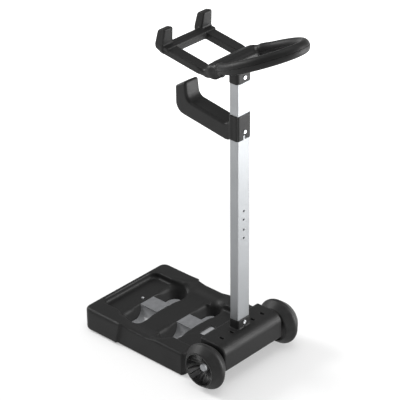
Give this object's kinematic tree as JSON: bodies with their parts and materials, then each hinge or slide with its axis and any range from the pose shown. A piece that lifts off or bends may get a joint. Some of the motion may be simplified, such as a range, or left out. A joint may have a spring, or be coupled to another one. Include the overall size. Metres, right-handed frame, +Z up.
{
  "type": "pool robot caddy",
  "caption": "Wheeled stand for a pool cleaning robot, with a shallow tray, a post, a cable hook, a rack for the surface unit and a handle loop.",
  "frame": {"origin": "middle of the footprint, on the floor", "axes": "+X to the right of a person who holds the handle, +Y ahead over the tray, +Z up"},
  "size_m": [0.3704, 0.677, 1.0694],
  "materials": {
    "black_plastic": "fine grained injection moulding, slightly satin",
    "grey_plastic": "smooth satin moulding",
    "aluminium_tube": "matt clear anodised extrusion",
    "axle_steel": "ground and zinc plated",
    "screw_steel": "zinc plated",
    "tyre_rubber": "matt",
    "foot_rubber": "matt",
    "cap_plastic": "smooth"
  },
  "bodies": {
    "frame": {"tray": "black_plastic", "front_plate": "grey_plastic", "rear_plate": "grey_plastic", "lower_pan": "grey_plastic", "tray_screws": "screw_steel", "feet": "foot_rubber", "axle_housing": "black_plastic", "housing_screws": "screw_steel", "axle_clamps": "black_plastic", "clamp_screws": "screw_steel", "axle": "axle_steel", "spacers": "axle_steel", "axle_caps": "cap_plastic", "post": "aluminium_tube", "foot_screw": "screw_steel", "hook": "black_plastic", "hook_screw": "screw_steel", "head": "black_plastic", "head_screw": "screw_steel", "handle_lower": "black_plastic", "handle_upper": "black_plastic", "handle_screws": "screw_steel"},
    "wheel_left": {"left_rim": "black_plastic", "left_tyre": "tyre_rubber", "left_bushes": "grey_plastic"},
    "wheel_right": {"right_rim": "black_plastic", "right_tyre": "tyre_rubber", "right_bushes": "grey_plastic"}
  },
  "joints": [
    {"name": "wheel_left_spin", "type": "hinge", "parent": "frame", "child": "wheel_left", "pos_m": [-0.1572, -0.13452, 0.07], "axis": [1, 0, 0], "continuous": true},
    {"name": "wheel_right_spin", "type": "hinge", "parent": "frame", "child": "wheel_right", "pos_m": [0.1572, -0.13452, 0.07], "axis": [1, 0, 0], "continuous": true}
  ]
}
